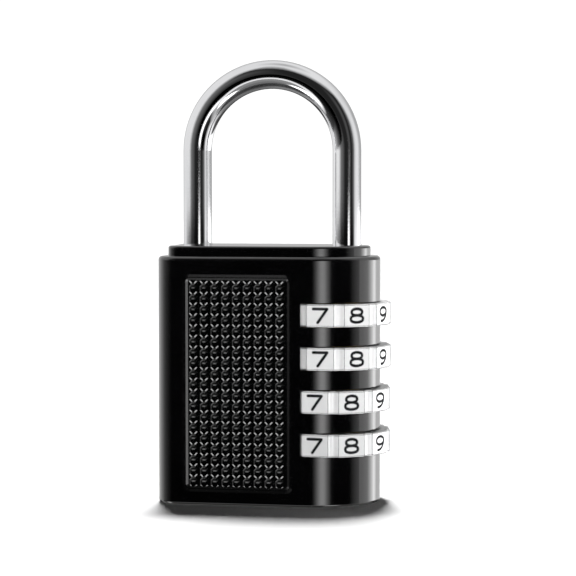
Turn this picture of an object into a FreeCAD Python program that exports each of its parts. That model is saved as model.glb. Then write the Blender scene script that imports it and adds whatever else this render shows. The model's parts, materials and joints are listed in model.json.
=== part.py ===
import FreeCAD, Part
import math
import os
import Sketcher

# A four-dial combination padlock, in millimetres, standing on its base with the dials on the right.
#
# The frame: origin at the middle of the base, +X to the dial side, -Y to the front, +Z up the shackle.
# The short leg (the toe) of the shackle stands in the top cap. The long leg (the heel) carries a steel
# bridge plate, and the bridge carries a spindle down through the four dials. Each spindle fin stands
# under the gate wall of a clutch sleeve, so the shackle lifts only when all four gates line up.

DRIVING = {
    # housing, seen from above
    "body_width": 40.9,
    "body_depth": 21.4,
    "body_height": 46.3,
    "corner_radius": 4.0,
    "shoulder_reach": 14.3,
    "end_radius": 8.6,
    "top_round": 0.7,
    "base_round": 0.6,
    # top cap and base cover
    "cap_height": 1.9,
    "cap_inset": 1.85,
    "cap_round": 0.45,
    "post_radius": 1.8,
    "post_length": 6.3,
    "post_y": 6.8,
    "post_left_x": 12.0,
    "post_right_x": 24.0,
    "pin_radius": 0.75,
    "pin_drop": 4.8,
    "cover_thickness": 1.2,
    "cover_inset": 1.5,
    "rivet_radius": 0.9,
    "rivet_head_radius": 1.5,
    "rivet_head_depth": 0.6,
    "rivet_length": 6.5,
    "rivet_left_x": 12.0,
    "rivet_right_x": 24.6,
    "rivet_y": 6.3,
    # shackle
    "heel_from_left": 6.0,
    "leg_spacing": 28.6,
    "rod_radius": 2.7,
    "shackle_top": 83.0,
    "heel_end": 22.0,
    "pilot_radius": 1.7,
    "pilot_length": 2.5,
    "toe_depth": 5.4,
    "toe_chamfer": 0.7,
    "leg_clearance": 0.08,
    "lift_travel": 6.4,
    # bridge plate and its chamber
    "bridge_bottom": 38.5,
    "bridge_thickness": 1.2,
    "bridge_half_width": 3.2,
    "chamber_radius": 3.5,
    "chamber_floor": 38.3,
    "groove_radius": 1.75,
    "fork_overlap": 1.0,
    "fin_room_radius": 4.7,
    "fit_gap": 0.05,
    # spindle
    "spindle_radius": 2.0,
    "spindle_bottom": 2.2,
    "neck_radius": 1.2,
    "fin_radius": 4.3,
    "fin_width": 1.5,
    "fin_height": 1.4,
    "fin_drop": 0.25,
    # dial stack
    "dial_axis_from_left": 31.6,
    "dial_radius": 11.3,
    "dial_height": 4.2,
    "dial_pitch": 8.0,
    "first_dial_z": 35.6,
    "facet_count": 10.0,
    "facet_width": 5.1,
    "flute_radius": 1.2,
    "dial_chamfer": 0.2,
    "zero_angle": 13.4,
    "digit_depth": 0.15,
    "digit_sunk": 0.03,
    "digit_stroke": 0.42,
    "slot_height": 4.5,
    "slot_radius": 11.45,
    "bore_radius": 6.38,
    "dial_bore_radius": 6.36,
    "key_radius": 7.6,
    "key_width": 2.3,
    "notch_width": 1.9,
    "relief_radius": 7.7,
    # clutch sleeves
    "sleeve_radius": 6.3,
    "sleeve_above": 2.6,
    "sleeve_below": 5.35,
    "wall_height": 2.0,
    "hollow_radius": 4.6,
    "gate_hole_radius": 2.15,
    "gate_width": 2.2,
    "tooth_radius": 7.4,
    "tooth_width": 1.6,
    "tooth_angle": 108.0,
    "washer_thickness": 0.4,
    # grips
    "grip_left_x": 5.75,
    "grip_width": 19.85,
    "grip_bottom": 3.05,
    "grip_height": 39.45,
    "grip_corner": 0.9,
    "grip_depth": 0.8,
    "mouth_width": 0.5,
    "mouth_depth": 0.105,
    "mouth_taper": 78.1,
    "grip_plate": 0.55,
    "grip_rim": 0.55,
    "rim_edge": 0.12,
    "rim_slope": 0.17,
    "rim_taper": 68.4,
    "grip_gap": 0.05,
    "stud_from_left": 1.57,
    "stud_from_bottom": 1.1,
    "stud_pitch_x": 2.03,
    "stud_pitch_z": 2.0,
    "stud_width": 1.56,
    "stud_low": -0.9,
    "stud_high": 1.08,
    "short_stud_high": 0.2,
    "stud_chamfer": 0.48,
    "stud_height": 0.127,
    "stud_taper": 60.0,
    "mound_width": 1.1,
    "mound_low": 0.24,
    "mound_high": 0.85,
    "mound_chamfer": 0.2,
    "mound_height": 0.062,
    "mound_taper": 76.9,
    # springs
    "heel_wire": 0.35,
    "heel_coil_radius": 2.5,
    "heel_bore_radius": 3.25,
    "heel_bore_top": 30.0,
    "stack_wire": 0.35,
    "stack_coil_radius": 4.9,
    "strip_thickness": 0.35,
    "strip_width": 5.0,
    "strip_from_axis": 15.9,
    "strip_bottom": 1.3,
    "strip_height": 36.2,
    "finger_width": 1.8,
    "nose_radius": 0.4,
    "nose_reach": 11.08,
    "detent_y": 0.87,
}
DIALS = 4
COLUMNS = 9
ROWS = 19
DIAL_TURNS = (2.6, 2.6, -2.7, -2.7)
VOLUME_STEP = 1e-6

doc = FreeCAD.newDocument("Padlock")
sheet = doc.addObject("Spreadsheet::Sheet", "Sheet")
for row, (alias, number) in enumerate(DRIVING.items(), 1):
    sheet.set(f"A{row}", alias)
    sheet.set(f"B{row}", str(number))
    sheet.setAlias(f"B{row}", alias)
doc.recompute()


class Size:
    """A size that knows both its value and the spreadsheet formula that gives it."""

    def __init__(self, value, text):
        self.value = value
        self.text = text

    def joined(self, other, sign, value):
        return Size(value, f"({self.text} {sign} {as_size(other).text})")

    def __add__(self, other):
        return self.joined(other, "+", self.value + as_size(other).value)

    def __sub__(self, other):
        return self.joined(other, "-", self.value - as_size(other).value)

    def __mul__(self, other):
        return self.joined(other, "*", self.value * as_size(other).value)

    def __truediv__(self, other):
        return self.joined(other, "/", self.value / as_size(other).value)

    def __radd__(self, other):
        return as_size(other) + self

    def __rsub__(self, other):
        return as_size(other) - self

    def __rmul__(self, other):
        return as_size(other) * self

    def __neg__(self):
        return Size(-self.value, f"(-1 * {self.text})")

    def root(self):
        return Size(math.sqrt(self.value), f"sqrt({self.text})")

    def turned(self, name, degrees):
        wave = {"cos": math.cos, "sin": math.sin}[name]
        factor = wave(math.radians(as_size(degrees).value))
        return Size(self.value * factor, f"({self.text} * {name}({as_size(degrees).text}))")


def as_size(thing):
    """A plain number as a size."""
    return thing if isinstance(thing, Size) else Size(float(thing), repr(float(thing)))


def cell(alias):
    """The size held by one cell of the sheet."""
    return Size(float(DRIVING[alias]), f"Sheet.{alias}")


ZERO = as_size(0)
LEFT = -(cell("dial_axis_from_left") + cell("dial_radius")) / 2
AXIS_X = LEFT + cell("dial_axis_from_left")
HEEL_X = LEFT + cell("heel_from_left")
TOE_X = HEEL_X + cell("leg_spacing")
HALF_DEPTH = cell("body_depth") / 2
CROWN_RADIUS = cell("leg_spacing") / 2
CROWN_Z = cell("shackle_top") - cell("rod_radius") - CROWN_RADIUS
CAP_TOP = cell("body_height") + cell("cap_height")
TOE_END = CAP_TOP - cell("toe_depth")
BRIDGE_TOP = cell("bridge_bottom") + cell("bridge_thickness")
LAST_DIAL_Z = cell("first_dial_z") - cell("dial_pitch") * (DIALS - 1)
HALF_WALL = cell("wall_height") / 2
STACK_BOTTOM = LAST_DIAL_Z - cell("sleeve_below")
HALF_FACET = cell("facet_width") / 2
FLAT_DISTANCE = (cell("dial_radius") * cell("dial_radius") - HALF_FACET * HALF_FACET).root()


# ---- sketches ------------------------------------------------------------------------------------


def new_body(label):
    body = doc.addObject("PartDesign::Body", label)
    body.Label = label
    return body


def origin_part(body, role):
    return next(f for f in body.Origin.OriginFeatures if f.Role == role)


def new_sketch(body, plane, x=ZERO, y=ZERO, lift=ZERO):
    """A sketch on an origin plane of the body, moved by x, y in the plane and lift along its normal."""
    sk = body.newObject("Sketcher::SketchObject", f"{body.Name}_sketch")
    sk.AttachmentSupport = [(origin_part(body, plane), "")]
    sk.MapMode = "FlatFace"
    for axis, size in (("x", x), ("y", y), ("z", lift)):
        if size is not ZERO:
            sk.setExpression(f"AttachmentOffset.Base.{axis}", size.text)
    return sk


def constrain(sk, size, kind, *where):
    index = sk.addConstraint(Sketcher.Constraint(kind, *where, size.value))
    sk.setExpression(f"Constraints[{index}]", size.text)


def hold_point(sk, geometry, point, x, y):
    constrain(sk, x, "DistanceX", -1, 1, geometry, point)
    constrain(sk, y, "DistanceY", -1, 1, geometry, point)


def add_circle(sk, x, y, radius):
    circle = Part.Circle(FreeCAD.Vector(x.value, y.value, 0), FreeCAD.Vector(0, 0, 1), radius.value)
    index = sk.addGeometry(circle, False)
    constrain(sk, radius, "Radius", index)
    hold_point(sk, index, 3, x, y)


def arc_between(start, end, radius, left_turn):
    """The arc's curve, with its own start at the travel's start when it turns left."""
    chord = end - start
    half = chord.Length / 2
    side = FreeCAD.Vector(-chord.y, chord.x, 0).normalize() * (1 if left_turn else -1)
    centre = (start + end) / 2 + side * math.sqrt(max(radius**2 - half**2, 0.0))
    first, last = (start, end) if left_turn else (end, start)
    angles = [math.atan2(p.y - centre.y, p.x - centre.x) for p in (first, last)]
    return Part.ArcOfCircle(Part.Circle(centre, FreeCAD.Vector(0, 0, 1), radius), *angles)


def add_profile(sk, corners):
    """A closed profile. Each corner is (x, y) before a straight edge, or (x, y, radius, turn) before an arc,
    where turn is "left" or "right" and a radius of "half" means half a circle."""
    ends = []
    for i, corner in enumerate(corners):
        after = corners[(i + 1) % len(corners)]
        start = FreeCAD.Vector(corner[0].value, corner[1].value, 0)
        end = FreeCAD.Vector(after[0].value, after[1].value, 0)
        if len(corner) == 2:
            index = sk.addGeometry(Part.LineSegment(start, end), False)
            ends.append((index, 1, 2))
            continue
        half_circle = corner[2] == "half"
        radius = (end - start).Length / 2 if half_circle else corner[2].value
        left_turn = corner[3] == "left"
        index = sk.addGeometry(arc_between(start, end, radius, left_turn), False)
        ends.append((index, 1, 2) if left_turn else (index, 2, 1))
        if half_circle and abs(end.x - start.x) > abs(end.y - start.y):
            constrain(sk, (corner[1] + after[1]) / 2, "DistanceY", -1, 1, index, 3)
        elif half_circle:
            constrain(sk, (corner[0] + after[0]) / 2, "DistanceX", -1, 1, index, 3)
        else:
            constrain(sk, corner[2], "Radius", index)
    for i, (index, start_point, _) in enumerate(ends):
        before, _, before_end = ends[i - 1]
        sk.addConstraint(Sketcher.Constraint("Coincident", before, before_end, index, start_point))
        hold_point(sk, index, start_point, corners[i][0], corners[i][1])


def add_box(sk, x0, y0, x1, y1):
    add_profile(sk, [(x0, y0), (x1, y0), (x1, y1), (x0, y1)])


def add_round_box(sk, x0, y0, x1, y1, radius):
    corners = [
        (x0 + radius, y0),
        (x1 - radius, y0, radius, "left"),
        (x1, y0 + radius),
        (x1, y1 - radius, radius, "left"),
        (x1 - radius, y1),
        (x0 + radius, y1, radius, "left"),
        (x0, y1 - radius),
        (x0, y0 + radius, radius, "left"),
    ]
    add_profile(sk, corners)


def add_housing_outline(sk, inset=ZERO):
    """The housing seen from above, shrunk by inset: square left corners and a full, rounded dial end."""
    half = HALF_DEPTH - inset
    corner = cell("corner_radius") - inset
    left = LEFT + inset
    right = LEFT + cell("body_width") - inset
    reach = cell("shoulder_reach") - inset
    end = cell("end_radius") - inset
    shoulder = (reach * reach - reach * end * 2 + half * half) / (half * 2 - end * 2)
    start_x = right - reach
    share = end / (shoulder - end)
    meet_x = right - end + (reach - end) * share
    meet_y = (shoulder - half) * share
    corners = [
        (left + corner, -half),
        (start_x, -half, shoulder, "left"),
        (meet_x, -meet_y, end, "left"),
        (meet_x, meet_y, shoulder, "left"),
        (start_x, half),
        (left + corner, half, corner, "left"),
        (left, half - corner),
        (left, corner - half, corner, "left"),
    ]
    add_profile(sk, corners)


# ---- features ------------------------------------------------------------------------------------


def finish_feature(body, feature, grows):
    """Recomputes, and checks that the feature added or removed material."""
    before = finish_feature.volume.get(body.Name, 0.0)
    doc.recompute()
    after = feature.Shape.Volume
    if not feature.Shape.isValid() or (after - before) * grows < VOLUME_STEP:
        raise RuntimeError(f"{feature.Label} of {body.Label} changed the volume from {before} to {after}")
    finish_feature.volume[body.Name] = after
    body.Tip = feature
    return feature


finish_feature.volume = {}


def extrude(body, kind, sk, length, backwards=False, both_ways=False, taper=None):
    feature = body.newObject(f"PartDesign::{kind}", f"{body.Name}_{kind.lower()}")
    feature.Profile = sk
    feature.setExpression("Length", length.text)
    feature.Reversed = backwards
    if both_ways:
        feature.SideType = "Symmetric"
    if taper is not None:
        feature.setExpression("TaperAngle", taper.text)
    sk.Visibility = False
    return finish_feature(body, feature, 1 if kind == "Pad" else -1)


def pad(body, sk, length, **options):
    return extrude(body, "Pad", sk, length, **options)


def pocket(body, sk, length, **options):
    return extrude(body, "Pocket", sk, length, **options)


def revolve(body, sk, cut=False):
    """Turns the sketch about its own vertical axis."""
    kind = "Groove" if cut else "Revolution"
    feature = body.newObject(f"PartDesign::{kind}", f"{body.Name}_{kind.lower()}")
    feature.Profile = sk
    feature.ReferenceAxis = (sk, ["V_Axis"])
    feature.Angle = 360.0
    return finish_feature(body, feature, -1 if cut else 1)


def repeat_along(body, feature, pitch, count, grows, axis="Z_Axis"):
    """Repeats a feature along one axis of the body."""
    pattern = body.newObject("PartDesign::LinearPattern", f"{body.Name}_stack")
    pattern.Originals = [feature]
    pattern.Direction = (origin_part(body, axis), [""])
    pattern.setExpression("Length", (pitch * (count - 1)).text)
    pattern.Occurrences = count
    return finish_feature(body, pattern, grows)


def repeat_round(body, feature, axis, angle, count, grows):
    pattern = body.newObject("PartDesign::PolarPattern", f"{body.Name}_round")
    pattern.Originals = [feature]
    pattern.Axis = axis
    pattern.setExpression("Angle", as_size(angle).text)
    pattern.Occurrences = count
    return finish_feature(body, pattern, grows)


def dress(body, kind, size, wanted):
    """Fillets or chamfers the tip's edges that wanted(edge) picks."""
    tip = body.Tip
    names = [f"Edge{i}" for i, edge in enumerate(tip.Shape.Edges, 1) if wanted(edge)]
    feature = body.newObject(f"PartDesign::{kind}", f"{body.Name}_{kind.lower()}")
    feature.Base = (tip, names)
    feature.setExpression("Radius" if kind == "Fillet" else "Size", size.text)
    return finish_feature(body, feature, -1)


def at_height(*heights):
    """Picks the edges that lie flat at one of the heights."""
    return lambda edge: any(lies_in(edge, "Z", height.value) for height in heights)


def lies_in(edge, axis, level):
    box = edge.BoundBox
    return abs(getattr(box, axis + "Min") - level) < 1e-3 and abs(getattr(box, axis + "Max") - level) < 1e-3


def place(body, x=ZERO, y=ZERO, z=ZERO, turn=None):
    for axis, size in (("x", x), ("y", y), ("z", z)):
        if size is not ZERO:
            body.setExpression(f"Placement.Base.{axis}", size.text)
    if turn is not None:
        body.Placement.Rotation = FreeCAD.Rotation(FreeCAD.Vector(0, 0, 1), turn)
    doc.recompute()
    return body


def clone(source, label):
    """A body that repeats another body's shape."""
    body = new_body(label)
    base = doc.addObject("PartDesign::FeatureBase", f"{label}_base")
    base.BaseFeature = source
    body.Group = [base]
    body.Tip = base
    doc.recompute()
    return body


# ---- housing -------------------------------------------------------------------------------------


def grip_corners(gap):
    """The grip recess, as x0, z0, x1, z1, shrunk by gap."""
    x0 = LEFT + cell("grip_left_x") + gap
    z0 = cell("grip_bottom") + gap
    x1 = LEFT + cell("grip_left_x") + cell("grip_width") - gap
    z1 = cell("grip_bottom") + cell("grip_height") - gap
    return x0, z0, x1, z1


def post_places():
    for x in ("post_left_x", "post_right_x"):
        for side in (-1, 1):
            yield LEFT + cell(x), cell("post_y") * side


def rivet_places():
    for x in ("rivet_left_x", "rivet_right_x"):
        for side in (-1, 1):
            yield LEFT + cell(x), cell("rivet_y") * side


def make_main_body():
    body = new_body("main_body")
    height = cell("body_height")
    sk = new_sketch(body, "XY_Plane")
    add_housing_outline(sk)
    pad(body, sk, height)
    dress(body, "Fillet", cell("top_round"), at_height(height))
    dress(body, "Fillet", cell("base_round"), at_height(ZERO))
    cut_dial_slots(body)
    cut_dial_column(body)
    cut_bridge_chamber(body)
    cut_heel_bores(body)
    cut_detent_channel(body)
    cut_grip_recesses(body)
    cut_fixing_holes(body)
    return body


def cut_dial_slots(body):
    """Four slots open round the dial end, through which the dials go in from the side."""
    sk = new_sketch(body, "XY_Plane", x=AXIS_X, lift=LAST_DIAL_Z - cell("slot_height") / 2)
    add_circle(sk, ZERO, ZERO, cell("slot_radius"))
    slot = pocket(body, sk, cell("slot_height"), backwards=True)
    repeat_along(body, slot, cell("dial_pitch"), DIALS, -1)


def cut_dial_column(body):
    """The bore of the sleeve stack, with two keyways that the sleeve teeth slide down."""
    sk = new_sketch(body, "XY_Plane", x=AXIS_X)
    add_circle(sk, ZERO, ZERO, cell("bore_radius"))
    pocket(body, sk, cell("chamber_floor"), backwards=True)
    sk = new_sketch(body, "XY_Plane", x=AXIS_X)
    half = cell("key_width") / 2
    add_box(sk, ZERO, -half, cell("key_radius"), half)
    key = pocket(body, sk, cell("chamber_floor") - 1, backwards=True)
    repeat_round(body, key, (sk, ["N_Axis"]), cell("tooth_angle"), 2, -1)


def cut_bridge_chamber(body):
    sk = new_sketch(body, "XY_Plane", lift=cell("body_height"))
    radius = cell("chamber_radius")
    stadium = [
        (HEEL_X, -radius),
        (TOE_X, -radius, "half", "left"),
        (TOE_X, radius),
        (HEEL_X, radius, "half", "left"),
    ]
    add_profile(sk, stadium)
    pocket(body, sk, cell("body_height") - cell("chamber_floor"))
    sk = new_sketch(body, "XY_Plane", lift=cell("body_height"))
    add_circle(sk, AXIS_X, ZERO, cell("fin_room_radius"))
    pocket(body, sk, cell("body_height") - cell("chamber_floor"))


def cut_heel_bores(body):
    sk = new_sketch(body, "XY_Plane")
    add_circle(sk, HEEL_X, ZERO, cell("heel_bore_radius"))
    pocket(body, sk, cell("heel_bore_top"), backwards=True)
    sk = new_sketch(body, "XY_Plane", lift=cell("chamber_floor"))
    add_circle(sk, HEEL_X, ZERO, cell("rod_radius") + cell("leg_clearance"))
    pocket(body, sk, cell("chamber_floor") - cell("heel_bore_top"))


def cut_detent_channel(body):
    """A T-shaped channel: the wide part holds the spring strip, and its fingers reach the dials."""
    sk = new_sketch(body, "XY_Plane", x=AXIS_X, y=cell("detent_y"))
    strip_x = -cell("strip_from_axis")
    room = cell("fit_gap")
    wide = cell("strip_width") / 2 + room
    narrow = cell("finger_width") / 2 + 0.2
    wide_x0 = strip_x - room
    wide_x1 = strip_x + cell("strip_thickness") + room
    reach = -cell("bore_radius") - 3.5
    channel = [
        (wide_x0, -wide),
        (wide_x1, -wide),
        (wide_x1, -narrow),
        (reach, -narrow),
        (reach, narrow),
        (wide_x1, narrow),
        (wide_x1, wide),
        (wide_x0, wide),
    ]
    add_profile(sk, channel)
    pocket(body, sk, cell("strip_bottom") + cell("strip_height") + room, backwards=True)


def cut_grip_recesses(body):
    """A recess in each face, with a shallow slope round its mouth."""
    outside = -cell("mouth_width")
    for side in (1, -1):
        mouth = new_sketch(body, "XZ_Plane", lift=HALF_DEPTH * side)
        add_round_box(mouth, *grip_corners(outside), cell("grip_corner") - outside)
        pocket(body, mouth, cell("mouth_depth"), backwards=side < 0, taper=-cell("mouth_taper"))
        sk = new_sketch(body, "XZ_Plane", lift=HALF_DEPTH * side)
        add_round_box(sk, *grip_corners(ZERO), cell("grip_corner"))
        pocket(body, sk, cell("grip_depth"), backwards=side < 0)


def cut_fixing_holes(body):
    """The recess for the base cover, the rivet holes, the cap's post holes and the holes of its pins."""
    sk = new_sketch(body, "XY_Plane")
    add_housing_outline(sk, cell("cover_inset"))
    pocket(body, sk, cell("cover_thickness"), backwards=True)
    sk = new_sketch(body, "XY_Plane")
    for x, y in rivet_places():
        add_circle(sk, x, y, cell("rivet_radius"))
    pocket(body, sk, cell("rivet_length"), backwards=True)
    sk = new_sketch(body, "XY_Plane", lift=cell("body_height"))
    for x, y in post_places():
        add_circle(sk, x, y, cell("post_radius") + cell("fit_gap"))
    pocket(body, sk, cell("post_length") + 0.2)
    for side in (1, -1):
        sk = new_sketch(body, "XZ_Plane", lift=HALF_DEPTH * side)
        for x in ("post_left_x", "post_right_x"):
            add_circle(sk, LEFT + cell(x), cell("body_height") - cell("pin_drop"), cell("pin_radius"))
        pocket(body, sk, HALF_DEPTH - cell("post_y") + cell("post_radius") + 0.4, backwards=side < 0)


def make_top_cap():
    body = new_body("top_cap")
    sk = new_sketch(body, "XY_Plane", lift=cell("body_height"))
    add_housing_outline(sk, cell("cap_inset"))
    pad(body, sk, cell("cap_height"))
    dress(body, "Fillet", cell("cap_round"), at_height(CAP_TOP))
    sk = new_sketch(body, "XY_Plane", lift=CAP_TOP)
    for x in (HEEL_X, TOE_X):
        add_circle(sk, x, ZERO, cell("rod_radius") + cell("leg_clearance"))
    pocket(body, sk, cell("cap_height"))
    sk = new_sketch(body, "XY_Plane", lift=cell("body_height"))
    for x, y in post_places():
        add_circle(sk, x, y, cell("post_radius"))
    pad(body, sk, cell("post_length"), backwards=True)
    sk = new_sketch(body, "XZ_Plane")
    for x in ("post_left_x", "post_right_x"):
        add_circle(sk, LEFT + cell(x), cell("body_height") - cell("pin_drop"), cell("pin_radius"))
    pocket(body, sk, cell("body_depth"), both_ways=True)
    return body


def make_cap_pins():
    """Four dowel pins, pressed in from the grip recesses, that lock the cap's posts."""
    pins = []
    length = HALF_DEPTH - cell("grip_depth") - cell("post_y") + cell("post_radius") + 0.2
    for i, (x, y) in enumerate(post_places()):
        pin = doc.addObject("Part::Cylinder", f"cap_pin_{i + 1}")
        pin.setExpression("Radius", cell("pin_radius").text)
        pin.setExpression("Height", length.text)
        outward = 1 if y.value > 0 else -1
        pin.Placement.Rotation = FreeCAD.Rotation(FreeCAD.Vector(1, 0, 0), 90 * outward)
        pin.setExpression("Placement.Base.x", x.text)
        pin.setExpression("Placement.Base.y", ((HALF_DEPTH - cell("grip_depth")) * outward).text)
        pin.setExpression("Placement.Base.z", (cell("body_height") - cell("pin_drop")).text)
        pins.append(pin)
    return group("cap_pins", pins)


def make_base_cover():
    body = new_body("base_cover")
    sk = new_sketch(body, "XY_Plane")
    add_housing_outline(sk, cell("cover_inset") + cell("fit_gap"))
    pad(body, sk, cell("cover_thickness"))
    sk = new_sketch(body, "XY_Plane", lift=cell("cover_thickness"))
    add_circle(sk, HEEL_X, ZERO, cell("pilot_radius"))
    pad(body, sk, cell("pilot_length") / 2)
    sk = new_sketch(body, "XY_Plane", lift=cell("cover_thickness"))
    add_circle(sk, AXIS_X, ZERO, cell("stack_coil_radius") - cell("stack_wire") - 0.1)
    add_circle(sk, AXIS_X, ZERO, cell("stack_coil_radius") - cell("stack_wire") - 0.9)
    pad(body, sk, cell("cover_thickness") / 2)
    sk = new_sketch(body, "XY_Plane")
    for x, y in rivet_places():
        add_circle(sk, x, y, cell("rivet_radius"))
    pocket(body, sk, cell("cover_thickness"), backwards=True)
    sk = new_sketch(body, "XY_Plane")
    for x, y in rivet_places():
        add_circle(sk, x, y, cell("rivet_head_radius"))
    pocket(body, sk, cell("rivet_head_depth"), backwards=True)
    return body


def make_base_rivets():
    """Four flush rivets through the base cover."""
    body = new_body("base_rivet")
    sk = new_sketch(body, "XZ_Plane")
    head = cell("rivet_head_radius")
    shank = cell("rivet_radius")
    depth = cell("rivet_head_depth")
    profile = [
        (ZERO, ZERO),
        (head, ZERO),
        (head, depth),
        (shank, depth),
        (shank, cell("rivet_length") - shank / 2),
        (shank / 2, cell("rivet_length")),
        (ZERO, cell("rivet_length")),
    ]
    add_profile(sk, profile)
    revolve(body, sk)
    rivets = []
    for i, (x, y) in enumerate(rivet_places()):
        rivets.append(place(clone(body, f"base_rivet_{i + 1}"), x=x, y=y))
    return group("base_rivets", rivets)


def group(label, members):
    """Identical small pieces, kept as separate solids under one label."""
    compound = doc.addObject("Part::Compound", label)
    compound.Label = label
    compound.Links = members
    doc.recompute()
    return compound


# ---- grips ---------------------------------------------------------------------------------------


def make_front_grip():
    """A moulded plate with a sloping rim and full rows of eight-sided studs, each with a low mound.

    The row above them is of short studs that end under the rim.
    """
    body = new_body("front_grip")
    x0, z0, x1, z1 = grip_corners(cell("grip_gap"))
    half_x = (x1 - x0) / 2
    half_z = (z1 - z0) / 2
    corner = cell("grip_corner") - cell("grip_gap")
    sk = new_sketch(body, "XZ_Plane")
    add_round_box(sk, -half_x, -half_z, half_x, half_z, corner)
    pad(body, sk, cell("grip_depth"))
    floor_depth = cell("grip_depth") - cell("grip_plate")
    steps = [
        (cell("rim_edge"), cell("rim_slope"), {"taper": -cell("rim_taper")}),
        (cell("grip_rim"), floor_depth, {}),
    ]
    for inset, depth, options in steps:
        sk = new_sketch(body, "XZ_Plane", lift=cell("grip_depth"))
        add_round_box(sk, inset - half_x, inset - half_z, half_x - inset, half_z - inset, corner - inset)
        pocket(body, sk, depth, **options)
    first_x = cell("stud_from_left") - cell("grip_width") / 2
    first_z = cell("stud_from_bottom") - cell("grip_height") / 2
    level = cell("grip_plate")
    sk = new_sketch(body, "XZ_Plane", x=first_x, y=first_z + cell("stud_pitch_z") * ROWS, lift=level)
    add_short_stud(sk)
    short_stud = pad(body, sk, cell("stud_height"), taper=-cell("stud_taper"))
    repeat_along(body, short_stud, cell("stud_pitch_x"), COLUMNS, 1, axis="X_Axis")
    shapes = []
    for kind in ("stud", "mound"):
        sk = new_sketch(body, "XZ_Plane", x=first_x, y=first_z, lift=level)
        add_eight_sides(sk, kind)
        shapes.append(pad(body, sk, cell(f"{kind}_height"), taper=-cell(f"{kind}_taper")))
        level = level + cell(f"{kind}_height")
    repeat_grid(body, shapes, sk)
    x = LEFT + cell("grip_left_x") + cell("grip_width") / 2
    z = cell("grip_bottom") + cell("grip_height") / 2
    return place(body, x=x, y=cell("grip_depth") - HALF_DEPTH, z=z)


def add_eight_sides(sk, kind):
    """An upright oblong with its four corners cut off, from the sizes named after the kind."""
    half_width = cell(f"{kind}_width") / 2
    low = cell(f"{kind}_low")
    high = cell(f"{kind}_high")
    chamfer = cell(f"{kind}_chamfer")
    side = half_width - chamfer
    corners = [(half_width, high - chamfer), (side, high), (-side, high), (-half_width, high - chamfer)]
    corners += [(-half_width, low + chamfer), (-side, low), (side, low), (half_width, low + chamfer)]
    add_profile(sk, corners)


def add_short_stud(sk):
    """The lower part of a stud, for the top row, which ends under the rim."""
    half_width = cell("stud_width") / 2
    low = cell("stud_low")
    high = cell("short_stud_high")
    chamfer = cell("stud_chamfer")
    side = half_width - chamfer
    corners = [(half_width, high), (-half_width, high)]
    corners += [(-half_width, low + chamfer), (-side, low), (side, low), (half_width, low + chamfer)]
    add_profile(sk, corners)


def repeat_grid(body, features, sk):
    """Repeats the features across and up the sketch's plane."""
    grid = body.newObject("PartDesign::MultiTransform", f"{body.Name}_grid")
    across = body.newObject("PartDesign::LinearPattern", f"{body.Name}_across")
    up = body.newObject("PartDesign::LinearPattern", f"{body.Name}_up")
    for pattern, axis, size, count in (
        (across, "H_Axis", "stud_pitch_x", COLUMNS),
        (up, "V_Axis", "stud_pitch_z", ROWS),
    ):
        pattern.Direction = (sk, [axis])
        pattern.setExpression("Length", (cell(size) * (count - 1)).text)
        pattern.Occurrences = count
    grid.Originals = features
    grid.Transformations = [across, up]
    grid.Refine = False
    return finish_feature(body, grid, 1)


def make_rear_grip(front):
    body = clone(front, "rear_grip")
    x = LEFT + cell("grip_left_x") + cell("grip_width") / 2
    z = cell("grip_bottom") + cell("grip_height") / 2
    return place(body, x=x, y=HALF_DEPTH - cell("grip_depth"), z=z, turn=180)


# ---- shackle and what it carries -----------------------------------------------------------------


def make_shackle():
    body = new_body("shackle")
    rod = cell("rod_radius")
    path = new_sketch(body, "XZ_Plane")
    heel_low = FreeCAD.Vector(HEEL_X.value, cell("heel_end").value, 0)
    heel_top = FreeCAD.Vector(HEEL_X.value, CROWN_Z.value, 0)
    toe_top = FreeCAD.Vector(TOE_X.value, CROWN_Z.value, 0)
    toe_low = FreeCAD.Vector(TOE_X.value, TOE_END.value, 0)
    up = Part.LineSegment(heel_low, heel_top)
    crown = Part.Circle((heel_top + toe_top) / 2, FreeCAD.Vector(0, 0, 1), CROWN_RADIUS.value)
    bow = Part.ArcOfCircle(crown, 0, math.pi)
    down = Part.LineSegment(toe_top, toe_low)
    up_i, bow_i, down_i = [path.addGeometry(g, False) for g in (up, bow, down)]
    hold_point(path, up_i, 1, HEEL_X, cell("heel_end"))
    hold_point(path, up_i, 2, HEEL_X, CROWN_Z)
    hold_point(path, down_i, 1, TOE_X, CROWN_Z)
    hold_point(path, down_i, 2, TOE_X, TOE_END)
    path.addConstraint(Sketcher.Constraint("Coincident", up_i, 2, bow_i, 2))
    path.addConstraint(Sketcher.Constraint("Coincident", bow_i, 1, down_i, 1))
    constrain(path, CROWN_Z, "DistanceY", -1, 1, bow_i, 3)
    ring = new_sketch(body, "XY_Plane", lift=cell("heel_end"))
    add_circle(ring, HEEL_X, ZERO, rod)
    pipe = body.newObject("PartDesign::AdditivePipe", "shackle_pipe")
    pipe.Profile = ring
    pipe.Spine = (path, [])
    finish_feature(body, pipe, 1)
    cut_heel(body)
    return body


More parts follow.
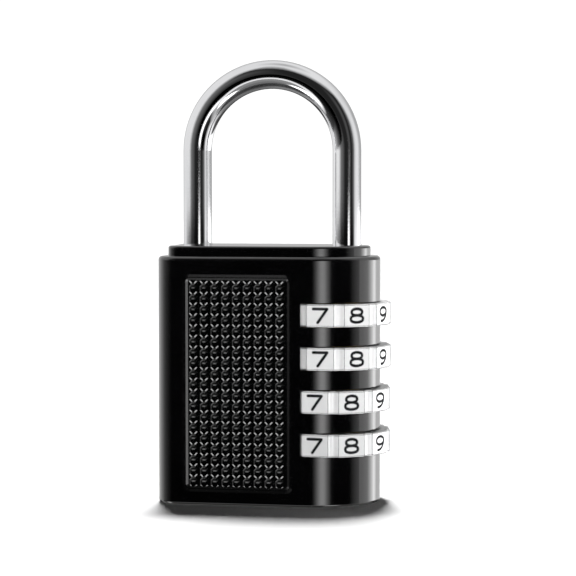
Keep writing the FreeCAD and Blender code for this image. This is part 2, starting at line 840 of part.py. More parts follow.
def cut_heel(body):
    """The pilot for the spring, the groove for the bridge plate, and the chamfer round the toe."""
    rod = cell("rod_radius")
    ring = new_sketch(body, "XY_Plane", lift=cell("heel_end"))
    add_circle(ring, HEEL_X, ZERO, cell("pilot_radius"))
    pad(body, ring, cell("pilot_length"), backwards=True)
    neck = new_sketch(body, "XZ_Plane", x=HEEL_X)
    low = cell("bridge_bottom") - cell("fit_gap")
    high = BRIDGE_TOP + cell("fit_gap")
    add_box(neck, cell("groove_radius"), low, rod + 1, high)
    revolve(body, neck, cut=True)
    tip = new_sketch(body, "XZ_Plane", x=TOE_X)
    slope = cell("toe_chamfer")
    outside = rod + 1
    corners = [(rod - slope, TOE_END), (outside, TOE_END - 1), (outside, TOE_END + 2), (rod, TOE_END + slope)]
    add_profile(tip, corners)
    revolve(body, tip, cut=True)


def make_bridge_plate():
    """A steel plate whose fork sits in the heel's groove and whose other end holds the spindle."""
    body = new_body("bridge_plate")
    sk = new_sketch(body, "XY_Plane", lift=cell("bridge_bottom"))
    half = cell("bridge_half_width")
    slot = cell("groove_radius") + cell("fit_gap")
    fork_x = HEEL_X - cell("fork_overlap")
    plate = [
        (fork_x, -half),
        (AXIS_X, -half, "half", "left"),
        (AXIS_X, half),
        (fork_x, half),
        (fork_x, slot),
        (HEEL_X, slot, "half", "right"),
        (HEEL_X, -slot),
        (fork_x, -slot),
    ]
    add_profile(sk, plate)
    pad(body, sk, cell("bridge_thickness"))
    sk = new_sketch(body, "XY_Plane", lift=cell("bridge_bottom"))
    add_circle(sk, AXIS_X, ZERO, cell("neck_radius"))
    pocket(body, sk, cell("bridge_thickness"), backwards=True)
    return body


def make_spindle():
    """The locking shaft: a riveted neck, a long stem, and one fin for each dial."""
    body = new_body("spindle")
    sk = new_sketch(body, "XZ_Plane")
    stem = cell("spindle_radius")
    neck = cell("neck_radius")
    bottom = cell("spindle_bottom")
    profile = [
        (ZERO, bottom),
        (stem - 0.5, bottom),
        (stem, bottom + 0.5),
        (stem, cell("bridge_bottom")),
        (neck, cell("bridge_bottom")),
        (neck, BRIDGE_TOP),
        (ZERO, BRIDGE_TOP),
    ]
    add_profile(sk, profile)
    revolve(body, sk)
    top = LAST_DIAL_Z - HALF_WALL - cell("fin_drop")
    sk = new_sketch(body, "XY_Plane", lift=top)
    half = cell("fin_width") / 2
    add_box(sk, -half, ZERO, half, cell("fin_radius"))
    fin = pad(body, sk, cell("fin_height"), backwards=True)
    repeat_along(body, fin, cell("dial_pitch"), DIALS, 1)
    return place(body, x=AXIS_X)


# ---- dials and clutch sleeves --------------------------------------------------------------------


def make_dial_ring():
    """A ring with ten flats for the digits, flutes between them, and ten notches inside for the clutch."""
    body = new_body("dial_ring")
    bottom = -cell("dial_height") / 2
    half = cell("facet_width") / 2
    corners = []
    for place_number in range(10):
        angle = cell("zero_angle") + 36 * place_number
        for side, edge in ((-1, []), (1, [cell("flute_radius"), "right"])):
            x = FLAT_DISTANCE.turned("cos", angle) - (half * side).turned("sin", angle)
            y = FLAT_DISTANCE.turned("sin", angle) + (half * side).turned("cos", angle)
            corners.append((x, y, *edge))
    sk = new_sketch(body, "XY_Plane", lift=bottom)
    add_profile(sk, corners)
    pad(body, sk, cell("dial_height"))
    dress(body, "Chamfer", cell("dial_chamfer"), at_height(bottom, -bottom))
    sk = new_sketch(body, "XY_Plane", lift=bottom)
    add_circle(sk, ZERO, ZERO, cell("dial_bore_radius"))
    pocket(body, sk, cell("dial_height"), backwards=True)
    sk = new_sketch(body, "XY_Plane", lift=-HALF_WALL)
    notch = cell("notch_width") / 2
    add_box(sk, cell("dial_bore_radius") - 1, -notch, cell("key_radius"), notch)
    cut = pocket(body, sk, cell("dial_height"), backwards=True)
    repeat_round(body, cut, (origin_part(body, "Z_Axis"), [""]), 360, 10, -1)
    sk = new_sketch(body, "XY_Plane", lift=bottom)
    add_circle(sk, ZERO, ZERO, cell("relief_radius"))
    pocket(body, sk, -bottom - HALF_WALL, backwards=True)
    return body


def trace(start, steps):
    """A flat wire from start: each step is (x, y) for a line or (mid_x, mid_y, x, y) for an arc."""
    edges = []
    here = FreeCAD.Vector(*start, 0)
    for step in steps:
        there = FreeCAD.Vector(*step[-2:], 0)
        if len(step) == 2:
            edges.append(Part.LineSegment(here, there).toShape())
        else:
            edges.append(Part.Arc(here, FreeCAD.Vector(*step[:2], 0), there).toShape())
        here = there
    return Part.Wire(edges)


def loop(middle, half_wide, half_high, end):
    """A closed oval wire: two round ends of radius end, joined smoothly by a flatter top and bottom."""
    reach = half_wide - end
    rise = half_high - end
    drop = (reach * reach - rise * rise) / (2 * rise)
    span = math.hypot(reach, drop)
    x = reach + end * reach / span
    y = end * drop / span
    steps = [
        (0, middle + half_high, x, middle + y),
        (half_wide, middle, x, middle - y),
        (0, middle - half_high, -x, middle - y),
        (-half_wide, middle, -x, middle + y),
    ]
    return trace((-x, middle + y), steps)


def digit_wires():
    """The middle lines of the strokes of 0 to 9, on a centred field 2.6 wide and 2.5 high."""
    zero_steps = [(0, 1.25, 1.05, 0.35), (1.05, -0.35), (0, -1.25, -1.05, -0.35), (-1.05, 0.35)]
    zero = [trace((-1.05, 0.35), zero_steps)]
    one = [trace((-0.55, 0.8), [(0.15, 1.25), (0.15, -1.25)])]
    two = [trace((-1.1, 0.75), [(0.1, 1.25, 1.1, 0.5), (-1.2, -1.25), (1.2, -1.25)])]
    three = [
        trace((-1.05, 1.25), [(0.5, 1.25), (1.12, 0.63, 0.5, 0.01), (-0.4, 0.01)]),
        trace((0.5, 0.01), [(0.6, 0.01), (1.23, -0.62, 0.6, -1.25), (-1.15, -1.25)]),
    ]
    four = [
        trace((0.6, -1.25), [(0.6, 1.25), (-1.25, -0.55)]),
        trace((0.6, 1.25), [(-1.25, -0.55), (1.3, -0.55)]),
    ]
    five_steps = [(-0.95, 1.25), (-1.05, 0.25), (0.5, 0.25), (1.25, -0.5, 0.5, -1.25), (-1.15, -1.25)]
    five = [trace((1.05, 1.25), five_steps)]
    six = [loop(-0.5, 1.2, 0.75, 0.6), trace((-1.16, -0.3), [(-0.62, 0.78, 0.75, 1.23)])]
    seven = [trace((-1.3, 1.25), [(1.3, 1.25), (-0.45, -1.25)])]
    eight = [loop(0.64, 1.06, 0.61, 0.5), loop(-0.6, 1.24, 0.65, 0.52)]
    nine = [wire.rotated(FreeCAD.Vector(), FreeCAD.Vector(0, 0, 1), 180) for wire in six]
    return [zero, one, two, three, four, five, six, seven, eight, nine]


def stroke_face(wire, width):
    """The flat, round-ended band of one stroke."""
    if not wire.isClosed():
        return Part.Face(wire.makeOffset2D(width / 2, 0, False, False))
    rings = [wire.makeOffset2D(width / 2 * side, 0, False, False) for side in (1, -1)]
    rings.sort(key=lambda ring: ring.BoundBox.DiagonalLength)
    return Part.Face(rings[1]).cut(Part.Face(rings[0])).Faces[0]


def digit_solids(outer_gap):
    """The ten digits as shallow solids set in the dial's flats, ending outer_gap inside each flat."""
    depth = DRIVING["digit_depth"]
    solids = []
    for digit, wires in enumerate(digit_wires()):
        up = FreeCAD.Vector(0, 0, depth - outer_gap)
        strokes = [stroke_face(wire, DRIVING["digit_stroke"]).extrude(up) for wire in wires]
        solid = strokes[0].fuse(strokes[1:]).removeSplitter() if len(strokes) > 1 else strokes[0]
        upright = FreeCAD.Rotation(FreeCAD.Vector(0, 0, 1), DRIVING["zero_angle"] + 36 * digit)
        across, upward = FreeCAD.Vector(0, 1, 0), FreeCAD.Vector(0, 0, 1)
        outward = FreeCAD.Rotation(across, upward, FreeCAD.Vector(1, 0, 0), "ZXY")
        turn = upright.multiply(outward)
        start = upright.multVec(FreeCAD.Vector(FLAT_DISTANCE.value - depth, 0, 0))
        solid.Placement = FreeCAD.Placement(start, turn).multiply(solid.Placement)
        solids += solid.Solids
    return Part.makeCompound(solids)


def make_dial():
    """The dial ring with its ten digits engraved."""
    tool = doc.addObject("Part::Feature", "digit_tool")
    tool.Shape = digit_solids(-DRIVING["digit_sunk"])
    cut = doc.addObject("Part::Cut", "dial_engraved")
    cut.Base = make_dial_ring()
    cut.Tool = tool
    doc.recompute()
    return cut


def make_digits():
    """The enamel that fills the engraved digits, a little below the flats, for each dial."""
    fills = []
    for i, turn in enumerate(DIAL_TURNS):
        fill = doc.addObject("Part::Feature", f"digits_{i + 1}")
        fill.Shape = digit_solids(DRIVING["digit_sunk"])
        fills.append(place(fill, x=AXIS_X, z=cell("first_dial_z") - cell("dial_pitch") * i, turn=turn))
    return fills


def make_sleeve():
    """A clutch sleeve: teeth outside for the dial, and inside a wall with one gate for a spindle fin."""
    body = new_body("clutch_sleeve")
    outer = cell("sleeve_radius")
    hollow = cell("hollow_radius")
    hole = cell("gate_hole_radius")
    sk = new_sketch(body, "XZ_Plane")
    profile = [
        (hollow, -cell("sleeve_below")),
        (outer, -cell("sleeve_below")),
        (outer, cell("sleeve_above") - cell("fit_gap")),
        (hollow, cell("sleeve_above") - cell("fit_gap")),
        (hollow, HALF_WALL),
        (hole, HALF_WALL),
        (hole, -HALF_WALL),
        (hollow, -HALF_WALL),
    ]
    add_profile(sk, profile)
    revolve(body, sk)
    sk = new_sketch(body, "XY_Plane", lift=-HALF_WALL)
    half = cell("gate_width") / 2
    add_box(sk, -half, ZERO, half, hollow - 0.1)
    pocket(body, sk, cell("wall_height"), backwards=True)
    sk = new_sketch(body, "XY_Plane", lift=-HALF_WALL)
    tooth = cell("tooth_width") / 2
    add_box(sk, outer - 0.4, -tooth, cell("tooth_radius"), tooth)
    first = pad(body, sk, cell("wall_height"))
    repeat_round(body, first, (origin_part(body, "Z_Axis"), [""]), cell("tooth_angle"), 2, 1)
    return body


def stack(source, stem):
    """Puts a copy of the piece at each of the four dials, turned as the dial stands."""
    pieces = []
    for i, turn in enumerate(DIAL_TURNS):
        body = clone(source, f"{stem}_{i + 1}")
        pieces.append(place(body, x=AXIS_X, z=cell("first_dial_z") - cell("dial_pitch") * i, turn=turn))
    return pieces


def make_stack_washer():
    body = new_body("stack_washer")
    sk = new_sketch(body, "XY_Plane", lift=STACK_BOTTOM - cell("washer_thickness"))
    add_circle(sk, ZERO, ZERO, cell("sleeve_radius"))
    add_circle(sk, ZERO, ZERO, cell("spindle_radius") + 0.3)
    pad(body, sk, cell("washer_thickness"))
    return place(body, x=AXIS_X)


# ---- springs -------------------------------------------------------------------------------------


def make_coil(label, x, bottom, top, radius, wire, turns):
    """A round-wire compression spring standing on bottom and reaching top."""
    body = new_body(label)
    sk = new_sketch(body, "XZ_Plane", y=bottom + wire)
    add_circle(sk, radius, ZERO, wire)
    helix = body.newObject("PartDesign::AdditiveHelix", f"{label}_helix")
    helix.Profile = sk
    helix.ReferenceAxis = (sk, ["V_Axis"])
    helix.Mode = 2
    helix.setExpression("Height", (top - bottom - wire * 2).text)
    helix.Turns = turns
    finish_feature(body, helix, 1)
    return place(body, x=x)


def make_detent_spring():
    """A stamped strip with four fingers, each with a round nose that drops into a flute of its dial."""
    body = new_body("detent_spring")
    thick = cell("strip_thickness")
    strip_x = -cell("strip_from_axis")
    sk = new_sketch(body, "XZ_Plane")
    add_box(sk, strip_x, cell("strip_bottom"), strip_x + thick, cell("strip_bottom") + cell("strip_height"))
    pad(body, sk, cell("strip_width"), both_ways=True)
    inner_x = strip_x + thick
    tip_x = -cell("nose_reach") - cell("nose_radius") / 2
    root = LAST_DIAL_Z - 3.3
    sk = new_sketch(body, "XZ_Plane")
    finger = [
        (strip_x, root),
        (inner_x, root),
        (tip_x, LAST_DIAL_Z - 0.7),
        (tip_x, LAST_DIAL_Z + 0.9),
        (tip_x - thick, LAST_DIAL_Z + 0.9),
        (tip_x - thick, LAST_DIAL_Z - 0.6),
        (strip_x, root + thick * 1.6),
    ]
    add_profile(sk, finger)
    finger_pad = pad(body, sk, cell("finger_width"), both_ways=True)
    repeat_along(body, finger_pad, cell("dial_pitch"), DIALS, 1)
    sk = new_sketch(body, "XZ_Plane", x=-cell("nose_reach") - cell("nose_radius"), y=LAST_DIAL_Z)
    radius = cell("nose_radius")
    add_profile(sk, [(ZERO, -radius), (ZERO, radius, "half", "right")])
    nose = revolve(body, sk)
    repeat_along(body, nose, cell("dial_pitch"), DIALS, 1)
    return place(body, x=AXIS_X, y=cell("detent_y"))


# ---- the whole padlock ---------------------------------------------------------------------------


def build():
    front = make_front_grip()
    parts = [
        make_main_body(),
        make_top_cap(),
        make_cap_pins(),
        make_base_cover(),
        make_base_rivets(),
        front,
        make_rear_grip(front),
        make_shackle(),
        make_bridge_plate(),
        make_spindle(),
        make_stack_washer(),
        make_detent_spring(),
    ]
    parts += stack(make_dial(), "dial")
    parts += make_digits()
    parts += stack(make_sleeve(), "clutch_sleeve")
    floor = cell("cover_thickness") + 0.05
    parts.append(make_coil("shackle_spring", HEEL_X, floor, cell("heel_end") - 0.05,
                           cell("heel_coil_radius"), cell("heel_wire"), 11))
    parts.append(make_coil("stack_spring", AXIS_X, floor, STACK_BOTTOM - cell("washer_thickness") - 0.05,
                           cell("stack_coil_radius"), cell("stack_wire"), 3))
    return parts


def export(parts):
    doc.recompute()
    for obj in doc.Objects:
        if "Invalid" in obj.State or "Error" in obj.State:
            raise RuntimeError(f"{obj.Label} is {obj.State}")
    os.makedirs("parts", exist_ok=True)
    for obj in parts:
        shape = obj.Shape
        if shape.isNull() or not shape.isValid() or not shape.Solids:
            raise RuntimeError(f"{obj.Label} has no valid solid")
        shape.exportStep(f"parts/{obj.Label}.step")
        print(f"{obj.Label}: {len(shape.Solids)} solids, {shape.Volume:.1f} mm3")


export(build())
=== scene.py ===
import json
import math

import bpy
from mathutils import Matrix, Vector


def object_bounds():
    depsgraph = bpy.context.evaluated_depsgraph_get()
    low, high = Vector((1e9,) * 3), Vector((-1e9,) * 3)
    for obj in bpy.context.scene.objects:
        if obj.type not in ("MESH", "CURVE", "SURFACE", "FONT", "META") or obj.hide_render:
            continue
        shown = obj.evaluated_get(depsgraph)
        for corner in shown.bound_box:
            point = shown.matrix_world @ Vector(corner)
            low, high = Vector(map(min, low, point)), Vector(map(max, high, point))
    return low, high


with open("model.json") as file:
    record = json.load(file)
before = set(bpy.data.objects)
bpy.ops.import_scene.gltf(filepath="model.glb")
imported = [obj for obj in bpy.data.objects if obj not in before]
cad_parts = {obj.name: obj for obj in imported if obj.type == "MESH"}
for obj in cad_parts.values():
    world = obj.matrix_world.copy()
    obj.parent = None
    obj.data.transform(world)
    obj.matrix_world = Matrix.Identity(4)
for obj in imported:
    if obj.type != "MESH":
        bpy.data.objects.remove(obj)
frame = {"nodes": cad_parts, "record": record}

cad_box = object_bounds()

# ---- numbers -------------------------------------------------------------------------------------

# Lengths are in metres and angles in degrees. Azimuth 0 is the front, and 90 is the dial side.
VIEW_AZIMUTH = 9.636
VIEW_ELEVATION = 3.026
VIEW_DISTANCE = 0.36790
VIEW_LENS = 121.58
VIEW_AIM_RIGHT = 0.00194
VIEW_AIM_DROP = 0.00142
VIEW_NEAREST = 0.01
SENSOR = 36.0

KEY_STRENGTH = 4.0
KEY_WIDTH = 10.5
KEY_HEIGHT = 72.5
KEY_AZIMUTH = -170.4
FILLS = (("front_fill", 10, 5.6), ("right_fill", 75, 2.8))
FILL_ELEVATION = -2.1
FILL_DISTANCE = 0.9
FILL_SIZE = (0.5, 0.03)
SOFT_LEVEL = 0.007
BACKDROP_LEVEL = 1.1
WHITE = (1.0, 1.0, 1.0, 1.0)

FLOOR_RADIUS = 4.0
FLOOR_SIDES = 96

# ---- material tools ------------------------------------------------------------------------------


class Nodes:
    """Short names for making and joining the nodes of one tree."""

    def __init__(self, tree):
        self.tree = tree
        self.tree.nodes.clear()

    def link(self, source, target):
        self.tree.links.new(source, target)

    def feed(self, socket, value):
        if hasattr(value, "is_output"):
            self.link(value, socket)
        else:
            socket.default_value = value

    def node(self, kind, **values):
        made = self.tree.nodes.new(kind)
        for name, value in values.items():
            setattr(made, name, value)
        return made

    def span(self, value, low_in, high_in, low_out, high_out):
        made = self.node("ShaderNodeMapRange", clamp=True)
        for socket, number in zip(list(made.inputs)[1:5], (low_in, high_in, low_out, high_out)):
            socket.default_value = number
        self.link(value, made.inputs[0])
        return made.outputs[0]

    def maths(self, operation, *values):
        made = self.node("ShaderNodeMath", operation=operation)
        for socket, value in zip(made.inputs, values):
            self.feed(socket, value)
        return made.outputs[0]

    def mix(self, share, first, second):
        made = self.node("ShaderNodeMix", data_type="RGBA")
        self.link(share, made.inputs["Factor"])
        colours = [socket for socket in made.inputs if socket.type == "RGBA"]
        for socket, value in zip(colours, (first, second)):
            self.feed(socket, value if hasattr(value, "is_output") else (*value, 1.0))
        return next(socket for socket in made.outputs if socket.type == "RGBA")


class Recipe(Nodes):
    """A node material built from the Principled shader."""

    def __init__(self, name):
        self.material = bpy.data.materials.new(name)
        self.material.use_nodes = True
        super().__init__(self.material.node_tree)
        self.output = self.node("ShaderNodeOutputMaterial")
        self.shader = self.node("ShaderNodeBsdfPrincipled")
        self.link(self.shader.outputs[0], self.output.inputs["Surface"])
        self.place = self.node("ShaderNodeTexCoord").outputs["Object"]

    def set(self, **values):
        for name, value in values.items():
            self.feed(self.shader.inputs[name.replace("_", " ")], value)

    def blend(self, texture, low, high, first, second):
        """The first colour where the texture is below low, and the second where it is above high."""
        return self.mix(self.span(texture, low, high, 0.0, 1.0), first, second)

    def stretched(self, x=1.0, y=1.0, z=1.0):
        mapping = self.node("ShaderNodeMapping")
        mapping.inputs["Scale"].default_value = (x, y, z)
        self.link(self.place, mapping.inputs["Vector"])
        return mapping.outputs["Vector"]

    def noise(self, scale, detail=2.0, roughness=0.5, where=None):
        made = self.node("ShaderNodeTexNoise")
        made.inputs["Scale"].default_value = scale
        made.inputs["Detail"].default_value = detail
        made.inputs["Roughness"].default_value = roughness
        self.link(where or self.place, made.inputs["Vector"])
        return made.outputs["Fac"]

    def cells(self, scale, where=None):
        made = self.node("ShaderNodeTexVoronoi", feature="DISTANCE_TO_EDGE")
        made.inputs["Scale"].default_value = scale
        self.link(where or self.place, made.inputs["Vector"])
        return made.outputs["Distance"]

    def edges(self, radius, low=0.02, high=0.25):
        """1 on sharp outer edges and 0 elsewhere."""
        bevel = self.node("ShaderNodeBevel", samples=6)
        bevel.inputs["Radius"].default_value = radius
        true = self.node("ShaderNodeNewGeometry")
        dot = self.node("ShaderNodeVectorMath", operation="DOT_PRODUCT")
        self.link(bevel.outputs[0], dot.inputs[0])
        self.link(true.outputs["Normal"], dot.inputs[1])
        return self.span(dot.outputs["Value"], 1.0 - high, 1.0 - low, 1.0, 0.0)

    def hollows(self, distance, low=0.35, high=0.95):
        """1 in narrow recesses and 0 in the open."""
        made = self.node("ShaderNodeAmbientOcclusion", samples=8)
        made.inputs["Distance"].default_value = distance
        return self.span(made.outputs["AO"], low, high, 1.0, 0.0)

    def bump(self, height, strength, distance, before=None):
        made = self.node("ShaderNodeBump")
        made.inputs["Strength"].default_value = strength
        made.inputs["Distance"].default_value = distance
        self.link(height, made.inputs["Height"])
        if before is not None:
            self.link(before, made.inputs["Normal"])
        return made.outputs["Normal"]


def enamel(name, base, worn, gloss):
    """Thick gloss enamel over zinc: slight orange peel, faint wipe marks, thinner at the edges."""
    r = Recipe(name)
    cloud = r.noise(55.0, detail=3.0)
    chips = r.span(r.noise(900.0, detail=4.0), 0.5, 0.68, 0.0, 0.35)
    edge = r.maths("MULTIPLY", r.edges(0.0004), chips)
    tint = r.blend(cloud, 0.35, 0.65, base, tuple(c * 1.8 for c in base))
    r.set(Base_Color=r.mix(edge, tint, worn))
    wipes = r.noise(420.0, detail=5.0, roughness=0.6, where=r.stretched(0.25, 0.25, 1.6))
    r.set(Roughness=r.span(wipes, 0.3, 0.7, gloss, gloss + 0.05))
    peel = r.bump(r.noise(620.0, detail=1.0), strength=0.03, distance=0.0001)
    grain = r.noise(4200.0, detail=2.0)
    r.set(Normal=r.bump(grain, strength=0.02, distance=0.00002, before=peel))
    r.set(Metallic=0.0, IOR=1.5, Coat_Weight=1.0, Coat_Roughness=0.03, Coat_IOR=1.5)
    return r.material


def chrome(name, light, dark, gloss, along):
    """Polished chrome: hairline polishing marks, small haze patches and fine pits."""
    r = Recipe(name)
    haze = r.noise(70.0, detail=4.0, roughness=0.55)
    hair = r.noise(900.0, detail=3.0, roughness=0.65, where=r.stretched(*along))
    pits = r.span(r.cells(1500.0), 0.0, 0.06, 1.0, 0.0)
    r.set(Base_Color=r.blend(haze, 0.35, 0.7, light, dark))
    base = r.span(haze, 0.3, 0.7, gloss, gloss * 1.8)
    r.set(Roughness=r.maths("ADD", base, r.span(hair, 0.4, 0.75, 0.0, gloss)))
    fine = r.bump(hair, strength=0.05, distance=0.00002)
    r.set(Normal=r.bump(pits, strength=0.015, distance=0.00002, before=fine))
    r.set(Metallic=1.0)
    return r.material


def dial_metal(name):
    """Bright satin chrome: faint turned lines round the rim, painted shade in its hollows and painted
    dark lines along its edges.
    """
    r = Recipe(name)
    lines = r.noise(300.0, detail=4.0, roughness=0.7, where=r.stretched(0.4, 0.4, 12.0))
    haze = r.noise(160.0, detail=3.0)
    # Painted shade: ambient occlusion darkens narrow hollows and a bevel mask draws thin dark lines on
    # sharp edges; both mix the base colour towards a painted dark grey.
    hollow_shade = r.hollows(0.0007)
    edge = r.edges(0.0002, low=0.0025, high=0.011)
    painted_shade = r.maths("MULTIPLY", r.maths("MAXIMUM", hollow_shade, edge), 0.8)
    tint = r.blend(haze, 0.35, 0.7, (0.95, 0.95, 0.95), (0.89, 0.895, 0.9))
    r.set(Base_Color=r.mix(painted_shade, tint, (0.06, 0.06, 0.065)))
    r.set(Roughness=r.span(lines, 0.3, 0.7, 0.2, 0.24))
    r.set(Normal=r.bump(r.noise(2600.0, detail=2.0), strength=0.02, distance=0.00002))
    r.set(Metallic=0.25)
    return r.material


def moulded(name, base, gloss):
    """Gloss moulded plastic with a very fine spark texture and small flow marks."""
    r = Recipe(name)
    flow = r.noise(90.0, detail=4.0, roughness=0.6, where=r.stretched(1.0, 1.0, 0.4))
    r.set(Base_Color=r.blend(flow, 0.35, 0.65, base, tuple(c * 2.2 for c in base)))
    r.set(Roughness=r.span(flow, 0.3, 0.7, gloss, gloss + 0.08))
    spark = r.noise(5200.0, detail=2.0)
    r.set(Normal=r.bump(spark, strength=0.04, distance=0.00003))
    r.set(Metallic=0.0, IOR=1.65, Coat_Weight=1.0, Coat_Roughness=0.05, Coat_IOR=1.6)
    return r.material


def plain_metal(name, light, dark, gloss, along=(1.0, 1.0, 1.0)):
    """Plated or machined metal seen only inside the lock or on small fixings."""
    r = Recipe(name)
    grain = r.noise(700.0, detail=4.0, roughness=0.65, where=r.stretched(*along))
    stain = r.noise(120.0, detail=3.0)
    r.set(Base_Color=r.blend(stain, 0.35, 0.68, light, dark))
    r.set(Roughness=r.span(grain, 0.3, 0.7, gloss, gloss + 0.15))
    r.set(Normal=r.bump(grain, strength=0.1, distance=0.00003))
    r.set(Metallic=1.0)
    return r.material


def digit_enamel(name):
    """Dull black enamel wiped into the engraved digits."""
    r = Recipe(name)
    mottle = r.noise(1400.0, detail=3.0)
    r.set(Base_Color=r.blend(mottle, 0.35, 0.65, (0.006, 0.006, 0.007), (0.018, 0.018, 0.02)))
    r.set(Roughness=r.span(mottle, 0.3, 0.7, 0.55, 0.75))
    r.set(Normal=r.bump(mottle, strength=0.15, distance=0.00003))
    r.set(Metallic=0.0, IOR=1.45, Specular_IOR_Level=0.08)
    return r.material


LOOKS = {
    "black_enamel": enamel("black_enamel", (0.0009, 0.0009, 0.001), (0.03, 0.03, 0.031), 0.07),
    "cap_enamel": enamel("cap_enamel", (0.0008, 0.0008, 0.0009), (0.025, 0.025, 0.026), 0.1),
    "grip_plastic": moulded("grip_plastic", (0.0009, 0.0009, 0.001), 0.12),
    "shackle_chrome": chrome(
        "shackle_chrome", (0.80, 0.80, 0.81), (0.70, 0.705, 0.72), 0.045, (6.0, 6.0, 0.5)
    ),
    "dial_chrome": dial_metal("dial_chrome"),
    "digit_enamel": digit_enamel("digit_enamel"),
    "plated_steel": plain_metal("plated_steel", (0.62, 0.63, 0.64), (0.45, 0.46, 0.47), 0.25),
    "rivet_steel": plain_metal("rivet_steel", (0.50, 0.50, 0.51), (0.34, 0.34, 0.35), 0.3),
    "spring_steel": plain_metal("spring_steel", (0.46, 0.47, 0.48), (0.3, 0.3, 0.31), 0.22),
    "sleeve_brass": plain_metal(
        "sleeve_brass", (0.72, 0.55, 0.27), (0.52, 0.38, 0.17), 0.24, (1.0, 1.0, 8.0)
    ),
}


def dress_nodes():
    """Puts each node's look in its material slots."""
    slots = {part["node"]: part["material_slot"] for part in frame["record"]["subparts"]}
    for node, piece in frame["nodes"].items():
        look = LOOKS[slots[node]]
        for slot in piece.material_slots:
            slot.material = look


# ---- stage ---------------------------------------------------------------------------------------


def make_floor():
    r = Recipe("floor_paper")
    fibre = r.noise(220.0, detail=5.0)
    r.set(Base_Color=r.mix(fibre, (0.93, 0.93, 0.93), (0.95, 0.95, 0.95)))
    r.set(Roughness=0.9, Specular_IOR_Level=0.0)
    bpy.ops.mesh.primitive_circle_add(
        vertices=FLOOR_SIDES, radius=FLOOR_RADIUS, fill_type="NGON", location=(0, 0, cad_box[0][2])
    )
    floor = bpy.context.object
    floor.name = "floor"
    floor.data.materials.append(r.material)
    floor.visible_glossy = False


def middle():
    """The middle of the lock's box."""
    return (Vector(cad_box[0]) + Vector(cad_box[1])) / 2


def towards(azimuth, elevation):
    """The direction from the lock to a place round it."""
    turn, lift = math.radians(azimuth), math.radians(elevation)
    level = math.cos(lift)
    return Vector((math.sin(turn) * level, -math.cos(turn) * level, math.sin(lift)))


def add_object(name, data, place, direction):
    """A camera or lamp at a place, looking along a direction."""
    made = bpy.data.objects.new(name, data)
    bpy.context.scene.collection.objects.link(made)
    made.location = place
    made.rotation_euler = direction.to_track_quat("-Z", "Y").to_euler()
    return made


def make_lights():
    """A high soft key behind the lock, and two low fills in front that hardly reach the floor.

    None of them is seen in reflections, which come from SKY alone.
    """
    key = bpy.data.lights.new("key_light", "SUN")
    key.energy = KEY_STRENGTH
    key.angle = math.radians(KEY_WIDTH)
    lamps = [add_object("key_light", key, (0, 0, 0), -towards(KEY_AZIMUTH, KEY_HEIGHT))]
    for name, azimuth, power in FILLS:
        fill = bpy.data.lights.new(name, "AREA")
        fill.shape = "RECTANGLE"
        fill.size, fill.size_y = FILL_SIZE
        fill.energy = power
        offset = towards(azimuth, FILL_ELEVATION) * FILL_DISTANCE
        lamps.append(add_object(name, fill, middle() + offset, -offset))
    for lamp in lamps:
        lamp.visible_glossy = False
        lamp.visible_camera = False


# How bright the studio looks in reflections, as (azimuth, brightness) round each band.
# GLINTS and BARS hold the two bright windows that the corners of the studs mirror, FOOT and BARS what the
# mounds on them mirror, HORIZON what the body mirrors, and UPPER and SHOULDERS what the shackle mirrors.
GROUND = [(-180, 0.12), (-120, 0.3), (-40, 0.2), (40, 0.2), (120, 0.3), (180, 0.12)]
GLINTS = [
    (-180, 0.2), (-110, 0.3), (-78, 0.4), (-73, 3.6), (-54, 3.6), (-49, 0.3), (29, 0.3), (33, 3.6),
    (50, 3.6), (55, 0.4), (110, 0.4), (136, 0.2), (180, 0.2),
]
BARS = [
    (-180, 0.2), (-110, 0.5), (-78, 0.6), (-73, 3.6), (-54, 3.6), (-46, 1.1), (30, 1.1), (40, 0.5),
    (110, 0.8), (136, 0.2), (180, 0.2),
]
FOOT = [
    (-180, 0.08), (-124, 0.08), (-100, 0.8), (-60, 1.0), (-46, 1.1), (30, 1.1), (44, 0.3), (70, 0.5),
    (90, 1.0), (108, 0.9), (126, 0.08), (180, 0.08),
]
SKIRT = [
    (-180, 0.02), (-124, 0.02), (-116, 0.9), (-100, 0.9), (-90, 0.1), (-66, 0.05), (-40, 0.01),
    (12, 0.0), (15, 0.4), (18, 1.2), (22, 2.5), (26, 2.5), (30, 1.1), (35, 0.04), (60, 0.0),
    (70, 0.5), (78, 1.1), (100, 1.3), (112, 1.3), (122, 0.1), (180, 0.02),
]
HORIZON = [
    (-180, 0.6), (-150, 0.5), (-128, 0.95), (-100, 0.9), (-84, 0.45), (-66, 0.18), (-52, 0.07),
    (-40, 0.01), (-30, 0.0), (12, 0.0), (15, 0.4), (18, 1.2), (22, 2.5), (26, 2.5), (30, 1.1),
    (35, 0.04), (40, 0.0), (60, 0.0), (67, 0.3), (74, 1.0), (100, 1.4), (112, 3.0), (126, 4.6),
    (140, 1.6), (158, 0.9), (180, 0.6),
]
UPPER = [
    (-180, 0.5), (-150, 0.5), (-128, 0.95), (-60, 0.95), (-48, 0.5), (-40, 0.2), (-24, 0.12),
    (-8, 0.02), (14, 0.02), (28, 0.1), (44, 0.01), (60, 0.12), (74, 0.7), (84, 0.95), (103, 1.0),
    (131, 0.5), (180, 0.5),
]
SHOULDERS = [
    (-180, 0.6), (-120, 0.95), (-54, 0.95), (-42, 0.5), (-30, 0.02), (50, 0.02), (62, 0.5),
    (74, 0.95), (180, 0.6),
]
CROWN = [
    (-180, 0.95), (-36, 0.95), (-24, 0.55), (-4, 0.5), (8, 0.8), (34, 0.8), (50, 0.95), (180, 0.95),
]
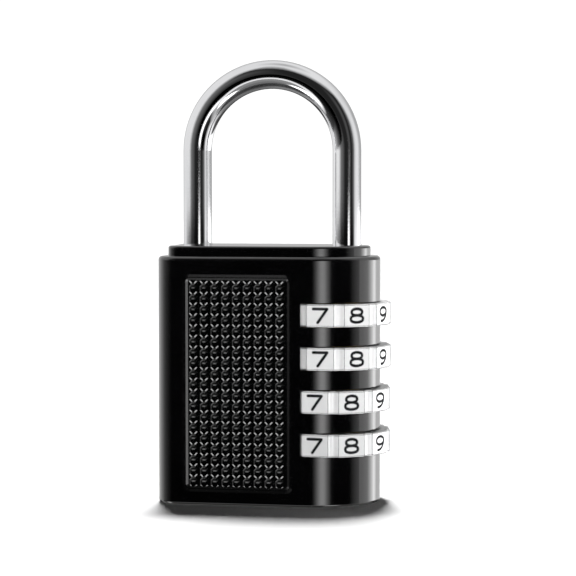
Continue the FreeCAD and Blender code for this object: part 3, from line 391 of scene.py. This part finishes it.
# Each band's height above the horizon, from the lowest. The studio changes evenly between two bands.
SKY = [
    (-90, [(-180, 0.2), (180, 0.2)]),
    (-66, GROUND),
    (-60, GROUND),
    (-53, GLINTS),
    (-39, GLINTS),
    (-36, BARS),
    (-34.5, BARS),
    (-29, FOOT),
    (-25, SKIRT),
    (-14.5, SKIRT),
    (-11, HORIZON),
    (-1.4, HORIZON),
    (-0.7, UPPER),
    (22, UPPER),
    (40, SHOULDERS),
    (57, CROWN),
    (70, [(-180, 0.95), (180, 0.95)]),
    (90, [(-180, 0.46), (180, 0.46)]),
]
# A colour ramp holds values up to 1, so the levels are divided by this and multiplied back.
SKY_SCALE = 5.0


def add_band(w, share, levels):
    """A ramp of the levels of one band, read at the share of a full turn."""
    ring = w.node("ShaderNodeValToRGB")
    w.link(share, ring.inputs[0])
    ramp = ring.color_ramp
    while len(ramp.elements) < len(levels):
        ramp.elements.new(0.5)
    for element, (azimuth, level) in zip(ramp.elements, levels):
        element.position = (azimuth + 180) / 360
        element.color = (*[level / SKY_SCALE] * 3, 1.0)
    return ring.outputs[0]


def add_background(w, colour, strength):
    made = w.node("ShaderNodeBackground")
    w.feed(made.inputs[0], colour)
    made.inputs[1].default_value = strength
    return made.outputs[0]


def make_world():
    """A dim even white for soft light, the studio of SKY for reflections, and a white backdrop."""
    world = bpy.data.worlds.new("studio")
    bpy.context.scene.world = world
    world.use_nodes = True
    w = Nodes(world.node_tree)
    split = w.node("ShaderNodeSeparateXYZ")
    w.link(w.node("ShaderNodeTexCoord").outputs["Generated"], split.inputs[0])
    turn = w.maths("ARCTAN2", split.outputs["X"], w.maths("MULTIPLY", split.outputs["Y"], -1.0))
    share = w.span(turn, -math.pi, math.pi, 0.0, 1.0)
    lift = w.maths("DEGREES", w.maths("ARCSINE", split.outputs["Z"]))
    below, levels = SKY[0]
    studio = add_band(w, share, levels)
    for height, levels in SKY[1:]:
        band = add_band(w, share, levels)
        studio = w.mix(w.span(lift, below, height, 0.0, 1.0), studio, band)
        below = height
    shown = add_background(w, WHITE, SOFT_LEVEL)
    path = w.node("ShaderNodeLightPath")
    for ray, background in (
        ("Is Glossy Ray", add_background(w, studio, SKY_SCALE)),
        ("Is Camera Ray", add_background(w, WHITE, BACKDROP_LEVEL)),
    ):
        choose = w.node("ShaderNodeMixShader")
        w.link(path.outputs[ray], choose.inputs[0])
        w.link(shown, choose.inputs[1])
        w.link(background, choose.inputs[2])
        shown = choose.outputs[0]
    out = w.node("ShaderNodeOutputWorld")
    w.link(shown, out.inputs[0])


def make_camera():
    aim = middle() + Vector((VIEW_AIM_RIGHT, 0, -VIEW_AIM_DROP))
    offset = towards(VIEW_AZIMUTH, VIEW_ELEVATION) * VIEW_DISTANCE
    data = bpy.data.cameras.new("camera")
    data.lens = VIEW_LENS
    data.sensor_width = SENSOR
    data.clip_start = VIEW_NEAREST
    bpy.context.scene.camera = add_object("camera", data, aim + offset, -offset)


dress_nodes()
make_floor()
make_lights()
make_world()
make_camera()
bpy.context.scene.view_settings.view_transform = "Standard"
